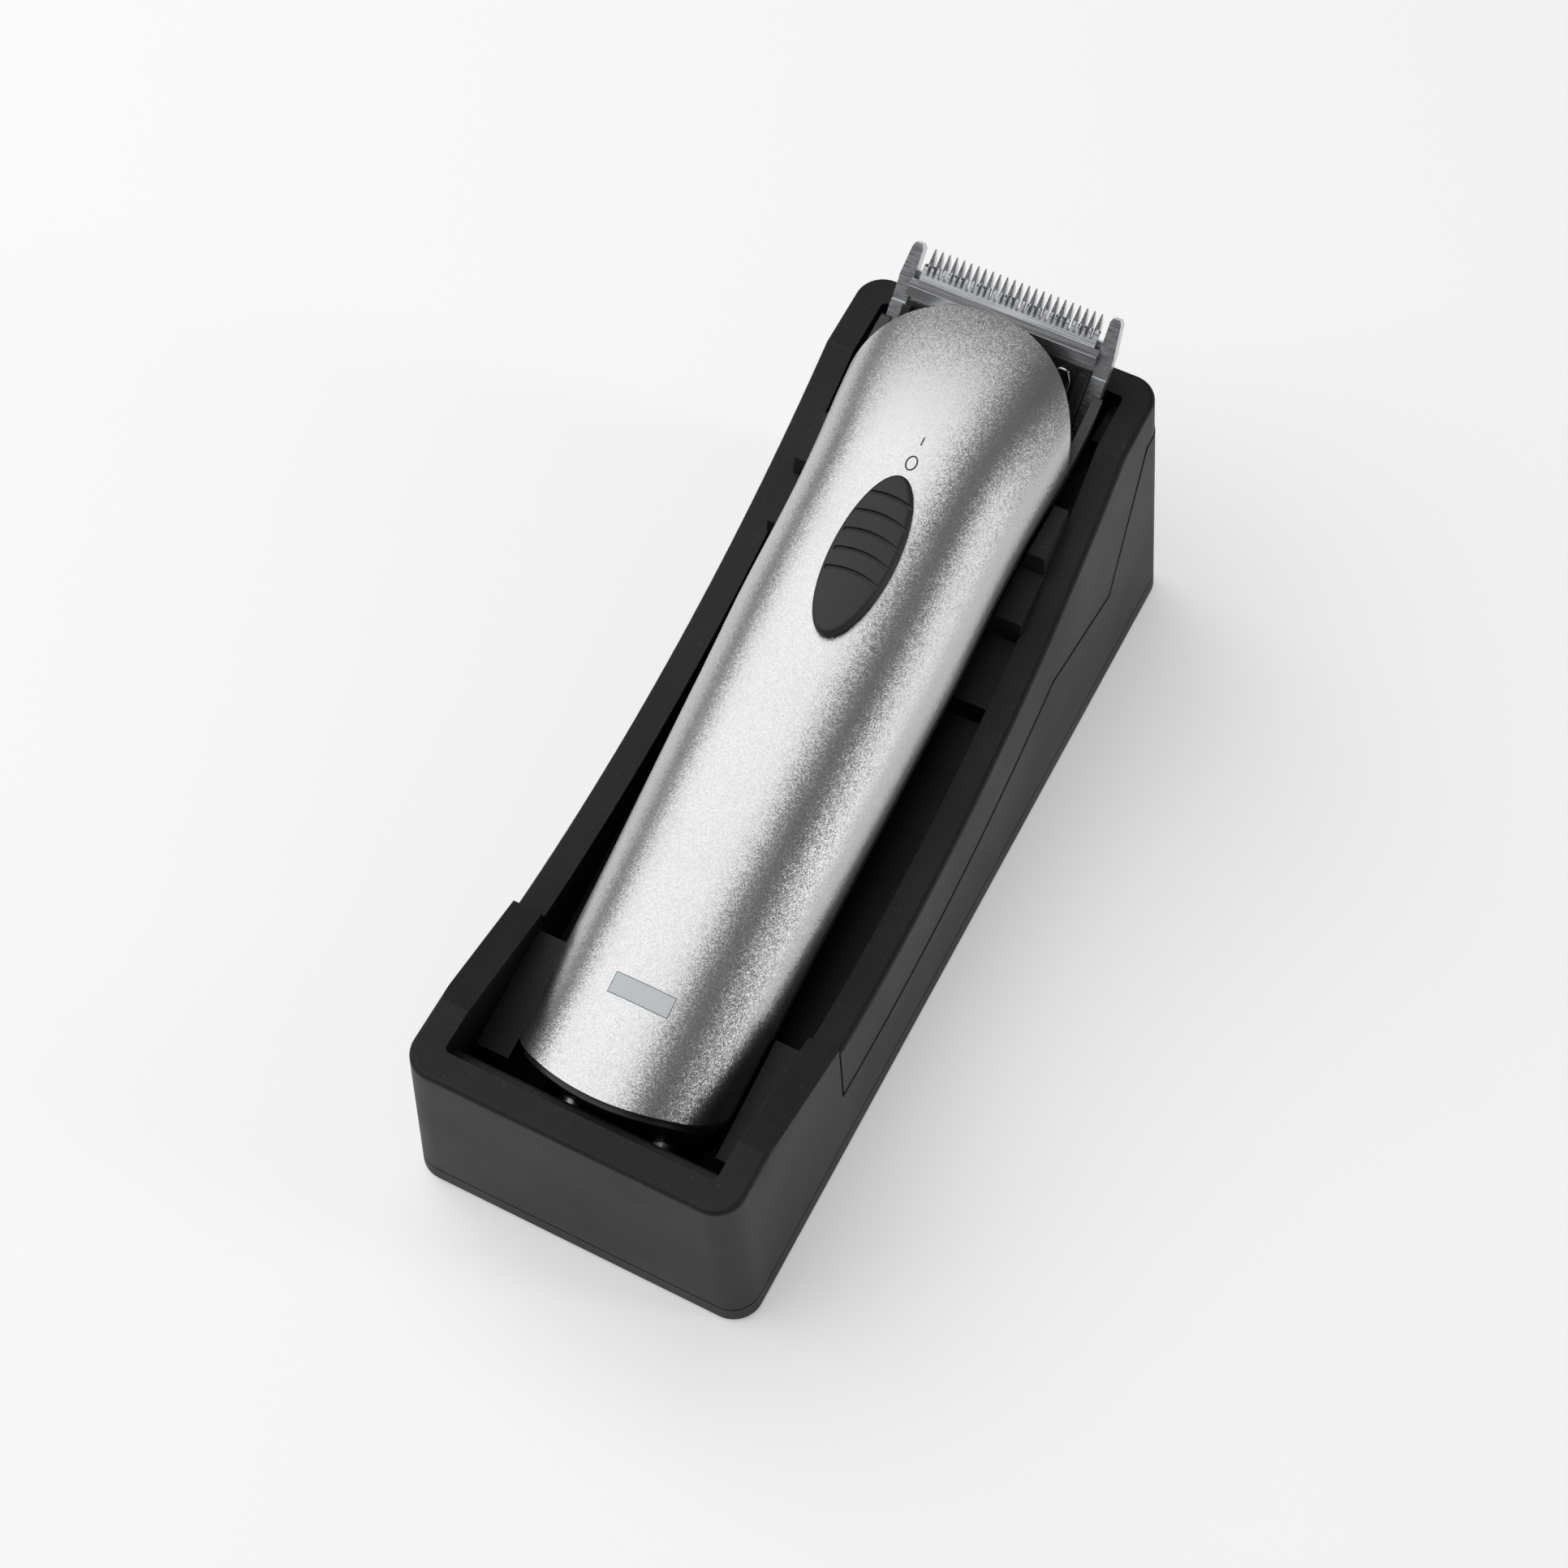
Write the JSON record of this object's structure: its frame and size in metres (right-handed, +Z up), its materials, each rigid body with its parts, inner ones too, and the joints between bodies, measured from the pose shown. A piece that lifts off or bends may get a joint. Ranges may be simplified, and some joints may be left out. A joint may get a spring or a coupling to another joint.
{
  "type": "beard trimmer",
  "caption": "Cordless beard trimmer with a slanted toothed blade set and slide switch, lying in its sloping charging stand.",
  "frame": {"origin": "centre of the stand's footprint, on the surface it stands on", "axes": "+Z up, +Y from the stand's front wall towards the blade end, +X to the right seen from the front"},
  "size_m": [0.0618, 0.1648, 0.075],
  "materials": {
    "stand_black": "fine moulded grain, matte",
    "feet_rubber": "soft matte",
    "screw_steel": "zinc plated",
    "spring_steel": "bright wire",
    "contact_gold": "thin gold plating",
    "board_green": "solder mask",
    "inlet_black": "moulded",
    "silver_paint": "satin metallic silver",
    "body_black": "satin",
    "button_rubber": "soft touch",
    "window_pale": "translucent, pale blue-grey",
    "led_white": "clear",
    "cell_wrap": "shrink wrap",
    "nickel": "nickel strip",
    "frame_grey": "moulded",
    "motor_steel": "plated can",
    "drive_white": "acetal",
    "blade_steel": "ground and brushed"
  },
  "bodies": {
    "stand": {"stand_housing": "stand_black", "cradle_insert": "stand_black", "stand_base_plate": "stand_black", "stand_feet": "feet_rubber", "base_screws": "screw_steel", "contact_block": "stand_black", "charging_board": "board_green", "power_inlet": "inlet_black", "inlet_pin": "contact_gold", "pin_spring_left": "spring_steel", "pin_spring_right": "spring_steel"},
    "pin_left": {"contact_pin_left": "contact_gold"},
    "pin_right": {"contact_pin_right": "contact_gold"},
    "trimmer": {"top_cover": "silver_paint", "lower_housing": "body_black", "tail_cap": "body_black", "tail_screws": "screw_steel", "charge_contacts": "contact_gold", "indicator_window": "window_pale", "indicator_leds": "led_white", "control_board": "board_green", "battery_cell": "cell_wrap", "battery_tabs": "nickel", "inner_frame": "frame_grey", "slide_switch": "frame_grey", "motor_can": "motor_steel", "motor_end_cap": "frame_grey", "front_bulkhead": "body_black", "head_shroud": "body_black"},
    "switch": {"switch_carrier": "frame_grey", "switch_button": "button_rubber"},
    "rotor": {"motor_shaft": "motor_steel", "eccentric_cam": "drive_white"},
    "blade_set": {"comb_blade": "blade_steel", "blade_carrier": "body_black", "blade_screws": "screw_steel", "cutter_springs": "spring_steel"},
    "cutter": {"moving_cutter": "blade_steel", "cutter_driver": "drive_white"}
  },
  "joints": [
    {"name": "trimmer_lift", "type": "slide", "parent": "stand", "child": "trimmer", "axis": [0, 0, 1], "range_m": [0, 0.1]},
    {"name": "switch_slide", "type": "slide", "parent": "trimmer", "child": "switch", "axis": [0, 0.9636, 0.2672], "range_m": [0, 0.0042]},
    {"name": "rotor_spin", "type": "hinge", "parent": "trimmer", "child": "rotor", "pos_m": [0, 0.02696, 0.05367], "axis": [0, 0.9636, 0.2672], "continuous": true},
    {"name": "blade_release", "type": "slide", "parent": "trimmer", "child": "blade_set", "axis": [0, 0.6428, 0.766], "range_m": [0, 0.006]},
    {"name": "cutter_slide", "type": "slide", "parent": "blade_set", "child": "cutter", "axis": [1, 0, 0], "range_m": [-0.0008, 0.0008]},
    {"name": "left_pin_press", "type": "slide", "parent": "stand", "child": "pin_left", "axis": [0, 0, 1], "range_m": [-0.0015, 0], "stiffness_N_per_m": 300, "deforming": ["pin_spring_left"]},
    {"name": "right_pin_press", "type": "slide", "parent": "stand", "child": "pin_right", "axis": [0, 0, 1], "range_m": [-0.0015, 0], "stiffness_N_per_m": 300, "deforming": ["pin_spring_right"]}
  ]
}
